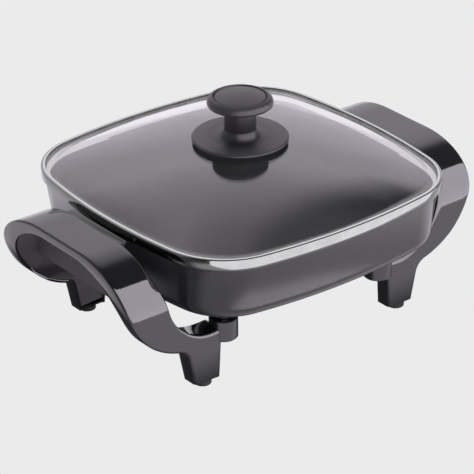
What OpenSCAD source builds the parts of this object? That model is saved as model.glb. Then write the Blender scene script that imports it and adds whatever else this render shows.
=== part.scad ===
// Electric skillet: a square pan on two moulded handles with legs, and a lift-off glass lid.
// Origin: middle of the footprint, on the table. +X runs from handle to handle, +Z is up,
// and -Y is the front. All sizes are in millimetres.

/* [Lid] */
// Middle of one side of the steel band to the middle of the lid
band_half = 155; // [152:0.5:158]
// Radius of the gently bowed sides of the band
band_side_r = 571; // [520:1:620]
// Radius of the band's corners
band_corner_r = 68; // [62:1:74]
// Height of the band's lower edge above the table
band_z = 134; // [132:0.5:136]
// Height of the band's outer wall
band_h = 8.8; // [8:0.1:10]
// Sheet thickness of the band
band_t = 0.8; // [0.6:0.1:1]
// How far the band's top lip reaches over the glass
band_lip = 4.2; // [3:0.1:5]
// Thickness of the glass
glass_t = 3.8; // [3.5:0.1:4]
// Rise of the glass dome from its flat border to its middle
dome_rise = 30.2; // [28:0.1:32]
// How far the lid lifts
lid_travel = 120; // [80:1:150]

/* [Knob] */
// Radius of the knob's widest part
head_r = 30; // [28:0.5:32]
// Radius of the cap set into its top
cap_r = 23.6; // [22:0.1:24]
// Radius of the stem
stem_r = 14.5; // [13:0.5:15]
// Radius of the heat guard under the stem
skirt_r = 44.3; // [42:0.1:46]

/* [Pan] */
// Height of the pan's flat bottom above the table
pan_z = 78.5; // [77:0.5:80]
// Wall thickness
pan_t = 2.4; // [2:0.1:3]
// Bottom thickness
floor_t = 4; // [3.5:0.1:4.5]
// Radius that joins the wall to the bottom, outside
pan_fillet = 14; // [12:0.5:16]
// Inset of the wall's top from the band's outer face
wall_top_in = 3.6; // [3.2:0.1:4]
// Inset of the wall's foot from the band's outer face
wall_foot_in = 8.5; // [7:0.1:10]

/* [Handles] */
// Middle of the skillet to the outer face of a handle
grip_out = 201.65; // [198:0.05:204]
// Middle of the skillet to the inner edge of a handle's top
grip_in = 162.5; // [160:0.5:164]
// Height of the flat top of a handle
grip_z = 135.2; // [134:0.1:137]
// Thickness of the grip at its middle
grip_t = 8.3; // [7.5:0.1:9]
// Middle of the skillet to a handle's front or rear plate, outside
plate_y = 95.5; // [94:0.5:97]
// Length of the rounding at each end of the grip, outside
end_rx = 67; // [64:1:76]
// Height of that rounding
end_rz = 44.5; // [42:0.5:48]
// Half of the finger arch's rounding, front to back
arch_rx = 59.5; // [56:0.5:61]
// Height of the finger arch's rounding
arch_rz = 50; // [46:0.5:52]
// Depth of the plates, front to back
plate_t = 14.5; // [14:0.5:15]
// Wall thickness of the mouldings
shell_t = 2.8; // [2.5:0.1:3]

/* [Legs] */
// Middle of the skillet to the middle of a foot, across
foot_x = 112.8; // [112:0.1:114]
// Middle of the skillet to the middle of a foot, front to back
foot_y = 87.4; // [87:0.1:88]
// Height of the soft foot under the leg
foot_h = 5; // [4:0.5:6]
// Radius of the foot
foot_r = 8; // [7.5:0.1:8.2]
// Width of the leg at its lower end
leg_w = 28.2; // [27:0.1:29]
// Middle of the skillet to a screw boss, across
boss_x = 89.5; // [89:0.1:90]
// Middle of the skillet to a screw boss, front to back
boss_y = 88; // [87.5:0.1:88.5]
// Radius of a screw boss
boss_r = 13; // [12.5:0.1:13.5]

/* [Heater] */
// Middle of the skillet to the middle of the heater tube
heater_half = 85; // [82:0.5:87]
// Radius of the heater's corners, to the middle of the tube
heater_corner_r = 40; // [36:1:42]
// Radius of the heater tube
heater_r = 4; // [3.5:0.1:4]
// Half the distance between the two contact pins
pin_x = 14; // [13.5:0.1:14.5]
// Radius of a contact pin
pin_r = 2.4; // [2:0.1:2.5]
// Radius of the hole for the sensing probe
probe_r = 3.3; // [3:0.1:3.5]

/* [Hidden] */

$fn = 96;
fit = 0.05;             // clearance between pieces that are fitted into each other
plastic = "#5c595e";
dark_plastic = "#3a383c";
steel = "#c9c9cc";
rubber = "#2b2b2d";

// Rounded square shared by the band, the glass and the pan. Its arcs keep their centres when it
// is inset, so every inset of it is an exact offset.
side_steps = 6;
corner_steps = 12;
ring_n = 4 * (side_steps + corner_steps);
side_c = band_half - band_side_r;
corner_c = (side_c + sqrt(2 * pow(band_side_r - band_corner_r, 2) - side_c * side_c)) / 2;
side_a = atan2(corner_c, corner_c - side_c);

// Levels of the lid
lip_z = band_z + band_h;
border_z = lip_z - 0.8;                 // top of the glass's flat border
border_in = band_t + 0.95;              // inset of the glass edge
border_share = 0.955;                   // share of the glass's width where the dome starts
dome_r = 160;                           // radius that the dome's rings approach at the middle
apex_z = border_z + dome_rise;
glass_hole_r = 4.5;
guide_in = 7.2;                         // inset of the lip that drops into the pan
guide_h = 4;                            // depth of that lip
pad_t = 1;                              // thickness of the gaskets and of the washer

// Levels of the knob
skirt_z = apex_z + pad_t;               // under side of the skirt's hub
stem_z = apex_z + 10.8;                 // joint between skirt and stem
head_z = apex_z + 35.4;                 // widest level of the head
cap_z = apex_z + 38.3;                  // seat of the cap
cap_dome_r = 94.3;
screw_r = 2.5;

// Levels of the pan
pan_top = band_z - 0.3;
fillet_z = pan_z + pan_fillet;
inner_fillet = pan_fillet - pan_t + 0.4;

// Side view of a handle, seen along Y: x from the middle of the skillet, z up
leg_out = foot_x + leg_w / 2 - 0.4;
leg_in = foot_x - leg_w / 2 - 0.4;
leg_flare = 0.214;                      // outward lean of the leg's outer face
leg_top_in = leg_in - 2.8;
valley_c = [108, 98];                   // the hollow between handle and pan
valley_r = 46;
neck = [grip_in, 121];
belly_c = [122.7, 114.7];               // the outer sweep above the leg
belly_r = 75.2;
shoulder_r = 139.6;                     // the flatter sweep from there up to the grip
shoulder_c = [grip_out - shoulder_r, belly_c.y
    + sqrt(pow(shoulder_r - belly_r, 2) - pow(grip_out - shoulder_r - belly_c.x, 2))];
crook_r = 14;                           // fillet between sweep and leg
leg_dir = [leg_flare, 1] / norm([leg_flare, 1]);
leg_side = [leg_dir.y, -leg_dir.x];
crook_from = [leg_out, foot_h] + crook_r * leg_side - belly_c;
crook_t = -crook_from * leg_dir - sqrt(pow(crook_from * leg_dir, 2)
    - crook_from * crook_from + pow(belly_r + crook_r, 2));
crook_c = belly_c + crook_from + crook_t * leg_dir;

// End view of a handle, seen along X: y from the middle, z up
end_c = [plate_y - end_rx, grip_z - end_rz];
arch_c = [plate_y - plate_t - arch_rx, grip_z - grip_t - arch_rz];
leg_back = 79;                          // inner face of the leg
leg_high = 38;
bracket_back = 73;                      // inner face of the plate where the boss joins it
bracket_low = 42;
bracket_high = 52;
liner_t = 2.2;
liner_in = 0.8;                         // how far the liner lies behind the shell's edge
web_x = 165.6;                          // inner wall that keeps the fingers off the pan
web_low = 78;

// Tab on the inner edge of the grip, beside the lid
tab_in = 155.9;
tab_half = 41;
tab_z = 130.8;
tab_t = 3.6;
tab_r = 3;

// Levels of the bosses and their screws
boss_low = 39.3;
boss_top = 59.5;
boss_seat = 51.5;
post_r = 7.5;
handle_screw_top = 73.5;
foot_stem_r = 4;
foot_stem_top = 15;

// Heater, probe block and inlet, behind the skillet's middle
heater_z = 73;
rib_w = 15;
rib_low = 67.5;
turn_r = 12;                            // bend that leads the heater's ends out
block_back = 120;
heater_end = 126;
insulator_end = 132;
pin_core_r = 2;                         // the pin inside the heater and its insulator
pin_end = 150;
guard_y = [121, 152];
guard_z = [60, 78.2];
guard_half = 31;
guard_t = 2.5;
ear_x = 36.5;
ear_y = 129;

// ---------------------------------------------------------------- outlines

function arc(c, r, a0, a1, n) = oval(c, r, r, a0, a1, n);

function oval(c, rx, ry, a0, a1, n) =
    [for (i = [0:n]) let (a = a0 + (a1 - a0) * i / n) c + [rx * cos(a), ry * sin(a)]];

function turned(p, a) = [p.x * cos(a) - p.y * sin(a), p.x * sin(a) + p.y * cos(a)];

// The rounded square, inset by d, counter-clockwise seen from above
function square_outline(d) =
    let (
        side = arc([side_c, 0], band_side_r - d, -side_a, side_a, side_steps),
        corner = arc([corner_c, corner_c], band_corner_r - d, side_a, 90 - side_a, corner_steps)
    )
    [for (k = [0:3])
        for (p = concat([for (i = [0:side_steps - 1]) side[i]],
                        [for (i = [0:corner_steps - 1]) corner[i]]))
            turned(p, 90 * k)];

// One ring of the glass: the border's outline, rounder towards the middle
function dome_ring(t) =
    [for (p = square_outline(border_in)) t * ((1 - t * t) * dome_r * p / norm(p) + t * t * p)];

function dome_height(t) = border_z + dome_rise * (1 - pow(min(1, t / border_share), 2));

// Side view of a handle, inset by d
function handle_side(d) =
    let (
        p = neck + [d, 0],
        lift = atan2(p.y - valley_c.y, p.x - valley_c.x)
            - acos((valley_r + d) / norm(p - valley_c)),
        fall = -90 - asin((valley_c.x - leg_top_in - d) / (valley_r + d)),
        crook_a0 = atan2(-leg_side.y, -leg_side.x),
        crook_a1 = atan2(belly_c.y - crook_c.y, belly_c.x - crook_c.x),
        belly_a0 = crook_a1 - 180,
        belly_a1 = atan2(belly_c.y - shoulder_c.y, belly_c.x - shoulder_c.x)
    )
    concat(
        [[grip_in + d, grip_z - d], p],
        arc(valley_c, valley_r + d, lift, fall, 18),
        [[leg_in + d, foot_h + d], [leg_out - d, foot_h + d]],
        arc(crook_c, crook_r + d, crook_a0, crook_a1, 6),
        arc(belly_c, belly_r - d, belly_a0, belly_a1, 12),
        [for (q = arc(shoulder_c, shoulder_r - d, belly_a1, 0, 6)) [q.x, min(q.y, grip_z - d)]]
    );

// End view of a handle, inset by d, from one plate over the top to the other
function handle_end(d) =
    concat(
        [[-plate_y + d, 0], [plate_y - d, 0]],
        oval(end_c, end_rx - d, end_rz - d, 0, 90, 14),
        oval([-end_c.x, end_c.y], end_rx - d, end_rz - d, 90, 180, 14)
    );

// The open space under a handle, grown by d into the moulding
function finger_space(d) =
    let (half = concat(
        [[leg_back + d, -1], [leg_back + d, leg_high], [bracket_back + d, bracket_low],
         [bracket_back + d, bracket_high], [arch_c.x + arch_rx + d, bracket_high + 10]],
        oval(arch_c, arch_rx + d, arch_rz + d, 0, 90, 15)))
    concat(half, [for (i = [len(half) - 1:-1:0]) [-half[i].x, half[i].y]]);

// ---------------------------------------------------------------- solids from outlines

// A solid skinned over rings of equal point counts. The rings run up the outer side first.
// It is capped at both ends, or closed on itself.
module skin(rings, looped = false) {
    n = len(rings[0]);
    m = len(rings);
    bands = [for (j = [0:looped ? m - 1 : m - 2]) for (i = [0:n - 1])
        let (a = j * n + i, b = j * n + (i + 1) % n,
             c = ((j + 1) % m) * n + i, d = ((j + 1) % m) * n + (i + 1) % n)
        each [[a, c, d], [a, d, b]]];
    caps = looped ? [] : [[for (i = [0:n - 1]) i], [for (i = [0:n - 1]) m * n - 1 - i]];
    polyhedron(points = [for (r = rings) each r], faces = concat(bands, caps), convexity = 6);
}

// Rings of the rounded square for a profile of [inset, height] pairs
function square_rings(profile) =
    [for (s = profile) [for (p = square_outline(s[0])) [p.x, p.y, s[1]]]];

module along_x(x0, x1) {
    translate([x0, 0, 0]) rotate([90, 0, 90]) linear_extrude(x1 - x0) children();
}

module along_y(y0, y1) {
    translate([0, y1, 0]) rotate([90, 0, 0]) linear_extrude(y1 - y0) children();
}

module tube(r_out, r_in, z0, z1) {
    translate([0, 0, z0]) difference() {
        cylinder(r = r_out, h = z1 - z0);
        translate([0, 0, -1]) cylinder(r = r_in, h = z1 - z0 + 2);
    }
}

// A rod along Y
module rod_y(x, z, r, y0, y1) {
    translate([x, y0, z]) rotate([-90, 0, 0]) cylinder(r = r, h = y1 - y0);
}

module left_and_right() {
    children();
    mirror([1, 0, 0]) children();
}

module all_corners() {
    for (sx = [-1, 1], sy = [-1, 1]) scale([sx, sy, 1]) children();
}

// ---------------------------------------------------------------- lid

module lid_glass() color("#aeb4b8", 0.5) difference() {
    shares = [1, border_share, 0.92, 0.84, 0.72, 0.58, 0.43, 0.28, 0.13];
    top = [for (t = shares) [for (p = dome_ring(t)) [p.x, p.y, dome_height(t)]]];
    under = [for (i = [len(shares) - 1:-1:0]) [for (p = top[i]) p - [0, 0, glass_t]]];
    skin(concat([under[len(under) - 1]], top, [[for (p = top[len(top) - 1]) p * 1]],
        [for (i = [0:len(under) - 2]) under[i]]), looped = true);
    translate([0, 0, apex_z - 15]) cylinder(r = glass_hole_r, h = 30);
}

module lid_rim() color(steel) {
    skin(square_rings([
        [0, band_z], [0, lip_z - 0.6], [0.6, lip_z + 0.2], [band_lip, lip_z + 0.8],
        [band_lip + 0.2, lip_z], [band_t, lip_z - 0.8], [band_t, band_z + band_t],
        [guide_in + band_t, band_z + band_t], [guide_in + band_t, band_z - guide_h],
        [guide_in, band_z - guide_h], [guide_in, band_z],
    ]), looped = true);
}

module rim_seal() color(rubber) {
    low = band_z + band_t;
    skin(square_rings([
        [band_t + fit, low], [band_t + fit, border_z], [border_in - 0.15, border_z],
        [border_in - 0.15, border_z - glass_t - 0.1], [5, border_z - glass_t - 0.1], [5, low],
    ]), looped = true);
}

module knob_skirt() color(dark_plastic) rotate_extrude() polygon(concat(
    [[3, skirt_z], [12, skirt_z], [13, skirt_z + 1], [skirt_r - 4.3, skirt_z + 0.4],
     [skirt_r - 2, skirt_z - 0.8], [skirt_r - 0.6, skirt_z - 0.8]],
    arc([skirt_r - 1.4, skirt_z + 0.6], 1.4, -45, 80, 5),
    [[skirt_r - 14, skirt_z + 2.6]],
    arc([stem_r + 9, stem_z], 9, 240, 180, 6),
    [[3, stem_z]]
));

module knob_head() color(dark_plastic) difference() {
    rotate_extrude() polygon(concat(
        [[0, stem_z], [stem_r, stem_z], [stem_r, head_z - 9.5]],
        arc([stem_r + 5, head_z - 9.5], 5, 180, 105, 4),
        arc([head_r - 2.8, head_z], 2.8, -80, 0, 4),
        arc([head_r - 6.2, head_z], 6.2, 0, 80, 6),
        [[cap_r + 0.9, head_z + 5.6], [cap_r + fit * 4, head_z + 4.6], [cap_r + fit * 4, cap_z],
         [0, cap_z]]
    ));
    translate([0, 0, stem_z - 1]) cylinder(r = 5 + fit, h = 15);
}

module knob_cap() color("#4a484c") rotate_extrude() polygon(concat(
    [[0, cap_z], [cap_r, cap_z]],
    arc([0, cap_z + 5.4 - cap_dome_r], cap_dome_r, acos(cap_r / cap_dome_r), 90, 6)
));

module knob_insert() color("#b08d57") tube(5, screw_r + fit, stem_z + 0.5, stem_z + 13.5);

module knob_gasket() color(rubber) tube(12, glass_hole_r, apex_z, skirt_z);

module knob_under_gasket() color(rubber)
    tube(9, glass_hole_r, apex_z - glass_t - pad_t, apex_z - glass_t);

module knob_washer() color(steel)
    tube(8, screw_r + 0.3, apex_z - glass_t - 2 * pad_t, apex_z - glass_t - pad_t);

module knob_screw() color(steel) {
    seat = apex_z - glass_t - 2 * pad_t;
    translate([0, 0, seat]) cylinder(r = screw_r, h = stem_z + 12 - seat);
    difference() {
        translate([0, 0, seat - 3]) cylinder(r = 4.6, h = 3);
        translate([-4, -0.6, seat - 4]) cube([8, 1.2, 2.2]);
        translate([-0.6, -4, seat - 4]) cube([1.2, 8, 2.2]);
    }
}

// ---------------------------------------------------------------- pan and heater

module pan_shell() {
    outer_c = wall_foot_in + pan_fillet;
    inner_c = wall_foot_in + pan_t + inner_fillet;
    inner_z = pan_z + floor_t + inner_fillet;
    skin(square_rings(concat(
        [for (a = [90:-15:0]) [outer_c - pan_fillet * cos(a), fillet_z - pan_fillet * sin(a)]],
        [[wall_top_in, pan_top - 3.3], [2, pan_top - 2.6], [2, pan_top],
         [wall_top_in + pan_t, pan_top]],
        [for (a = [0:18:90]) [inner_c - inner_fillet * cos(a), inner_z - inner_fillet * sin(a)]]
    )));
}

module rounded_ring_2d(half, r, w) {
    c = half - r;
    difference() {
        polygon([for (k = [0:3]) each [for (p = arc([c, c], r + w / 2, 0, 90, 10))
            turned(p, 90 * k)]]);
        polygon([for (k = [0:3]) each [for (p = arc([c, c], r - w / 2, 0, 90, 10))
            turned(p, 90 * k)]]);
    }
}

// Quarter of a tube bend, from angle a0 to a0 + 90 about c
module bend(c, r, a0, tube_r) {
    translate([c.x, c.y, heater_z]) rotate([0, 0, a0]) rotate_extrude(angle = 90)
        translate([r, 0]) circle(r = tube_r);
}

// The heater's path, for its own tube
module heater_path(r) {
    c = heater_half - heater_corner_r;
    turn_x = pin_x + turn_r;
    for (k = [0:3]) bend(turned([c, c], 90 * k), heater_corner_r, 90 * k, r);
    for (x = [-heater_half, heater_half]) rod_y(x, heater_z, r, -c, c);
    translate([-c, -heater_half, heater_z]) rotate([0, 90, 0]) cylinder(r = r, h = 2 * c);
    left_and_right() {
        translate([turn_x, heater_half, heater_z]) rotate([0, 90, 0])
            cylinder(r = r, h = c - turn_x);
        bend([turn_x, heater_half + turn_r], turn_r, 180, r);
        rod_y(pin_x, heater_z, r, heater_half + turn_r, heater_end);
    }
}

module pan() color("#4b494f") difference() {
    union() {
        pan_shell();
        translate([0, 0, rib_low]) linear_extrude(pan_z + 1 - rib_low)
            rounded_ring_2d(heater_half, heater_corner_r, rib_w);
        translate([-22, heater_half - 11, 66]) cube([44, block_back - heater_half + 11, 14]);
        all_corners() translate([boss_x, boss_y, boss_top])
            cylinder(r = post_r, h = pan_z + 1 - boss_top);
        for (x = [-ear_x, ear_x]) translate([x, ear_y, 75]) cylinder(r = 5, h = 5);
    }
    heater_path(heater_r + fit);
    rod_y(0, heater_z, 4.4 + fit, 92, block_back + 1);
    all_corners() translate([boss_x, boss_y, boss_top - 1])
        cylinder(r = screw_r + fit, h = handle_screw_top + 1.5 - boss_top);
    for (x = [-ear_x, ear_x]) translate([x, ear_y, 74]) cylinder(r = 1.75 + fit, h = 7);
}

module heating_element() color("#8d8f92") difference() {
    heater_path(heater_r);
    left_and_right() rod_y(pin_x, heater_z, pin_core_r + fit, 117.9, heater_end + 1);
}

module inlet_pin(side) color(steel) {
    rod_y(side * pin_x, heater_z, pin_core_r, 118, insulator_end + 1);
    rod_y(side * pin_x, heater_z, pin_r, insulator_end, pin_end - pin_r);
    translate([side * pin_x, pin_end - pin_r, heater_z]) sphere(r = pin_r);
}
module inlet_pin_left() inlet_pin(-1);
module inlet_pin_right() inlet_pin(1);

module insulator(side) color("#e6e2d6") difference() {
    union() {
        rod_y(side * pin_x, heater_z, 5.3, heater_end, heater_end + 3);
        rod_y(side * pin_x, heater_z, 4.3, heater_end, insulator_end);
    }
    rod_y(side * pin_x, heater_z, pin_core_r + fit, heater_end - 1, insulator_end + 1);
}
module insulator_left() insulator(-1);
module insulator_right() insulator(1);

module probe_sleeve() color(steel) difference() {
    rod_y(0, heater_z, 4.4, 92.5, block_back + 0.5);
    rod_y(0, heater_z, probe_r, 94, block_back + 2);
}

module inlet_guard() color(dark_plastic) difference() {
    union() {
        translate([-guard_half, guard_y[0], guard_z[0]])
            cube([2 * guard_half, guard_y[1] - guard_y[0], guard_z[1] - guard_z[0]]);
        left_and_right() translate([guard_half - 1, ear_y - 6, 72.5]) cube([12, 12, 2.5]);
    }
    translate([-guard_half + guard_t, guard_y[0] + guard_t, guard_z[0] + guard_t])
        cube([2 * (guard_half - guard_t), 40, 30]);
    left_and_right() rod_y(pin_x, heater_z, heater_r + 0.6, guard_y[0] - 1, guard_y[0] + 4);
    rod_y(0, heater_z, 5, guard_y[0] - 1, guard_y[0] + 4);
    for (x = [-ear_x, ear_x]) translate([x, ear_y, 70]) cylinder(r = 2, h = 10);
}

module guard_screws() color(steel) {
    for (x = [-ear_x, ear_x]) translate([x, ear_y, 0]) {
        translate([0, 0, 72]) cylinder(r = 1.75, h = 8.5);
        translate([0, 0, 70.3]) cylinder(r = 3.2, h = 2.2);
    }
}

// ---------------------------------------------------------------- handles and legs

// The solid form of a right-hand handle, inset by d, without its screw bosses
module handle_form(d) {
    intersection() {
        along_x(leg_top_in - 5, grip_out + 5) polygon(handle_end(d));
        along_y(-plate_y - 5, plate_y + 5) polygon(handle_side(d));
    }
}

module handle_right_shell() difference() {
    union() {
        difference() {
            handle_form(0);
            handle_form(shell_t);
            along_x(leg_top_in - 6, grip_out + 6) polygon(finger_space(0));
        }
        translate([0, 0, tab_z]) linear_extrude(tab_t) polygon(concat(
            arc([tab_in + tab_r, tab_half - tab_r], tab_r, 90, 180, 4),
            arc([tab_in + tab_r, tab_r - tab_half], tab_r, 180, 270, 4),
            [[grip_in + 1, -tab_half], [grip_in + 1, tab_half]]
        ));
        for (sy = [-1, 1]) {
            translate([boss_x, sy * boss_y, boss_low])
                cylinder(r = boss_r, h = boss_top - boss_low);
            translate([foot_x, sy * foot_y, foot_h + 1]) cylinder(r = 5.4, h = foot_stem_top);
        }
    }
    for (sy = [-1, 1]) {
        translate([boss_x, sy * boss_y, boss_low - 1]) {
            cylinder(r = 5.5, h = boss_seat - boss_low + 1);
            cylinder(r = screw_r + 0.3, h = 40);
        }
        translate([foot_x, sy * foot_y, foot_h - 1])
            cylinder(r = foot_stem_r + fit, h = foot_stem_top - foot_h + 2);
    }
}

module liner_right_shell() difference() {
    union() {
        intersection() {
            along_x(leg_top_in, grip_out) difference() {
                polygon(finger_space(liner_in + liner_t));
                polygon(finger_space(liner_in));
            }
            along_y(-plate_y, plate_y) polygon(handle_side(shell_t + 0.15));
        }
        along_x(web_x, web_x + liner_t) intersection() {
            polygon(finger_space(liner_in + 1));
            translate([-plate_y, web_low]) square([2 * plate_y, grip_z - web_low]);
        }
    }
    for (sy = [-1, 1]) translate([boss_x, sy * boss_y, boss_low - 1])
        cylinder(r = boss_r + 0.2, h = boss_top - boss_low + 2);
}

module handle_right() color(plastic) handle_right_shell();
module handle_left() color(plastic) mirror([1, 0, 0]) handle_right_shell();
module liner_right() color(dark_plastic) liner_right_shell();
module liner_left() color(dark_plastic) mirror([1, 0, 0]) liner_right_shell();

module handle_screws() color(steel) all_corners() translate([boss_x, boss_y, 0]) {
    translate([0, 0, boss_seat - 1]) cylinder(r = screw_r, h = handle_screw_top - boss_seat + 1);
    difference() {
        translate([0, 0, boss_seat - 4]) cylinder(r = 4.6, h = 3);
        translate([-4, -0.6, boss_seat - 5]) cube([8, 1.2, 2.2]);
        translate([-0.6, -4, boss_seat - 5]) cube([1.2, 8, 2.2]);
    }
}

module handle_washers() color(steel) all_corners() translate([boss_x, boss_y, 0])
    tube(5.2, screw_r + fit, boss_seat - 1, boss_seat);

module foot(sx, sy) color(rubber) translate([sx * foot_x, sy * foot_y, 0]) {
    rotate_extrude() polygon(concat(
        [[0, 0], [foot_r - 1.2, 0]], arc([foot_r - 1.2, 1.2], 1.2, -60, 0, 3),
        [[foot_r, foot_h], [0, foot_h]]));
    translate([0, 0, foot_h - 1]) cylinder(r = foot_stem_r, h = foot_stem_top - foot_h + 1);
}
module foot_front_left() foot(-1, -1);
module foot_front_right() foot(1, -1);
module foot_rear_left() foot(-1, 1);
module foot_rear_right() foot(1, 1);

// ---------------------------------------------------------------- nodes

lid_glass();
lid_rim();
rim_seal();
knob_head();
knob_cap();
knob_skirt();
knob_insert();
knob_gasket();
knob_under_gasket();
knob_washer();
knob_screw();
pan();
heating_element();
inlet_pin_left();
inlet_pin_right();
insulator_left();
insulator_right();
probe_sleeve();
inlet_guard();
guard_screws();
handle_left();
handle_right();
liner_left();
liner_right();
handle_screws();
handle_washers();
foot_front_left();
foot_front_right();
foot_rear_left();
foot_rear_right();
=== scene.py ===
"""Looks of the electric skillet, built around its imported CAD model. The meshes are worked out in
millimetres, and Build.object() turns them into metres. The camera, the floor and the lights are in
metres. +X runs from handle to handle, -Y is the front, +Z is up."""
import math

import bpy
from mathutils import Matrix, Vector


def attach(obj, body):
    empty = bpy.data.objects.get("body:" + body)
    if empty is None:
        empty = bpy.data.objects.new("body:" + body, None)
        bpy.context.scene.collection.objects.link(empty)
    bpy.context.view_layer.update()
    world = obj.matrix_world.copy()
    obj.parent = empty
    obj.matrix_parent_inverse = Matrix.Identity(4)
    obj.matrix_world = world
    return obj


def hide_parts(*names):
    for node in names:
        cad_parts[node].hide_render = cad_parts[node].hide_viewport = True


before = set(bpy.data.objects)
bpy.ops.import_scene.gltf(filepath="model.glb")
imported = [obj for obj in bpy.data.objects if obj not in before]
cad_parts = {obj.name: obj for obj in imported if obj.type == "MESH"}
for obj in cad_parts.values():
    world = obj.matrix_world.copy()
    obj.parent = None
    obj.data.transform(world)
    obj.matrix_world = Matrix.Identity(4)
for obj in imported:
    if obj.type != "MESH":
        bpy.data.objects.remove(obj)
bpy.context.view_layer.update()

MM = 0.001

# ---------------------------------------------------------------- sizes shared with the CAD
# the rounded square: half its width, the radius of its bowed sides and of its corners
BAND_HALF, SIDE_R, CORNER_R = 155.0, 571.0, 68.0
SIDE_C = BAND_HALF - SIDE_R
CORNER_C = (SIDE_C + math.sqrt(2 * (SIDE_R - CORNER_R) ** 2 - SIDE_C ** 2)) / 2
SIDE_A = math.degrees(math.atan2(CORNER_C, CORNER_C - SIDE_C))
BAND_Z, LIP_Z = 134.0, 142.8                            # the band's foot and the top of its wall
BORDER_Z, BORDER_IN, BORDER_SHARE = 142.0, 1.75, 0.955  # the glass's flat border
DOME_RISE, DOME_R, GLASS_T = 30.2, 160.0, 3.8
APEX_Z = BORDER_Z + DOME_RISE
PAN_Z, PAN_TOP, PAN_T, FLOOR_T, FILLET = 78.5, 133.7, 2.4, 4.0, 14.0
WALL_TOP_IN, WALL_FOOT_IN = 3.6, 8.5                    # the pan's wall, in from the band's

GRIP_OUT, GRIP_IN, GRIP_Z = 201.65, 162.5, 135.2
GRIP_T = 8.3
PLATE_Y, PLATE_T = 95.5, 14.5
END_RX, END_RZ = 67.0, 44.5                             # oval of the grip's ends
END_Y, END_Z = PLATE_Y - END_RX, GRIP_Z - END_RZ
ARCH_RX, ARCH_RZ = 59.5, 50.0                           # oval of the arch for the fingers
ARCH_Y, ARCH_Z = PLATE_Y - PLATE_T - ARCH_RX, GRIP_Z - GRIP_T - ARCH_RZ
SHELL_T = 2.8
TAB_IN, TAB_HALF, TAB_Z, TAB_T, TAB_R = 155.9, 41.0, 130.8, 3.6, 3.0
WEB_X, WEB_T, WEB_LOW = 165.6, 2.2, 78.0
FOOT_H = 5.0
BOSS_X, BOSS_Y, BOSS_Z = 89.5, 88.0, 59.5               # where the pan's posts meet the bosses


def arc(cx, cy, r, a0, a1, n):
    """n + 1 points on a circle, angles in degrees."""
    steps = [math.radians(a0 + (a1 - a0) * i / n) for i in range(n + 1)]
    return [(cx + r * math.cos(a), cy + r * math.sin(a)) for a in steps]


def four_turns(points):
    """The points of a quarter of an outline, followed by those of the other three quarters."""
    out = []
    for k in range(4):
        c, s = round(math.cos(math.pi / 2 * k)), round(math.sin(math.pi / 2 * k))
        out += [(x * c - y * s, x * s + y * c) for x, y in points]
    return out


def square_outline(inset, side_n=20, corner_n=22):
    """The rounded square of the lid and the pan, counter-clockwise from above."""
    side = arc(SIDE_C, 0, SIDE_R - inset, -SIDE_A, SIDE_A, side_n)[:-1]
    corner = arc(CORNER_C, CORNER_C, CORNER_R - inset, SIDE_A, 90 - SIDE_A, corner_n)[:-1]
    return four_turns(side + corner)


# ---------------------------------------------------------------- meshes
class Build:
    """Collects vertices and faces in millimetres."""

    def __init__(self):
        self.v, self.f = [], []

    def grid(self, rings, looped=False, caps=(False, False)):
        """Faces between rings of equal length. Caps close the first or the last ring."""
        base, n, m = len(self.v), len(rings[0]), len(rings)
        for ring in rings:
            self.v += [tuple(p) for p in ring]
        for j in range(m if looped else m - 1):
            a, b = base + j * n, base + ((j + 1) % m) * n
            for i in range(n):
                k = (i + 1) % n
                self.f.append((a + i, a + k, b + k, b + i))
        if caps[0]:
            self.f.append(tuple(reversed(range(base, base + n))))
        if caps[1]:
            self.f.append(tuple(range(base + (m - 1) * n, base + m * n)))

    def lathe(self, profile, cx=0.0, cy=0.0, n=96):
        """Turns a profile of (radius, height), from the bottom's axis up to the top's axis."""
        rings = []
        for r, z in profile:
            if r <= 0:
                continue
            rings.append([(cx + r * math.cos(2 * math.pi * i / n),
                           cy + r * math.sin(2 * math.pi * i / n), z) for i in range(n)])
        closed = profile[0][0] > 0 and profile[-1][0] > 0
        self.grid(rings, looped=closed, caps=(not closed, not closed))

    def object(self, name, material, body, replaces, mirror=False, sharp=40.0):
        """The mesh as a smooth-shaded piece that rides on a body, mirrored in X if asked."""
        sx = -MM if mirror else MM
        verts = [(x * sx, y * MM, z * MM) for x, y, z in self.v]
        faces = [tuple(reversed(f)) for f in self.f] if mirror else self.f
        data = bpy.data.meshes.new(name)
        data.from_pydata(verts, [], faces)
        data.validate()
        data.shade_smooth()
        data.set_sharp_from_angle(angle=math.radians(sharp))
        data.materials.append(material)
        obj = bpy.data.objects.new(name, data)
        bpy.context.scene.collection.objects.link(obj)
        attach(obj, body)
        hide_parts(*replaces)
        return obj


def square_rings(profile):
    """Rings of the rounded square for (inset, height) pairs."""
    return [[(x, y, z) for x, y in square_outline(inset)] for inset, z in profile]


# ---------------------------------------------------------------- materials
def new_material(name):
    mat = bpy.data.materials.new(name)
    mat.use_nodes = True
    return mat, mat.node_tree.nodes, mat.node_tree.links


def place_of(nodes, links, space="Object"):
    """The X, Y and Z of a point, as the outputs of a node."""
    coord = nodes.new("ShaderNodeTexCoord")
    split = nodes.new("ShaderNodeSeparateXYZ")
    links.new(coord.outputs[space], split.inputs["Vector"])
    return split.outputs


def mix_colours(nodes, links, factor, a, b):
    """Colour a where the factor is 0, b where it is 1. Each is a colour or a socket."""
    mix = nodes.new("ShaderNodeMix")
    mix.data_type = "RGBA"
    links.new(factor, mix.inputs["Factor"])
    for key, value in (("A", a), ("B", b)):
        if isinstance(value, tuple):
            mix.inputs[key].default_value = (*value, 1)
        else:
            links.new(value, mix.inputs[key])
    return mix.outputs["Result"]


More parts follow.
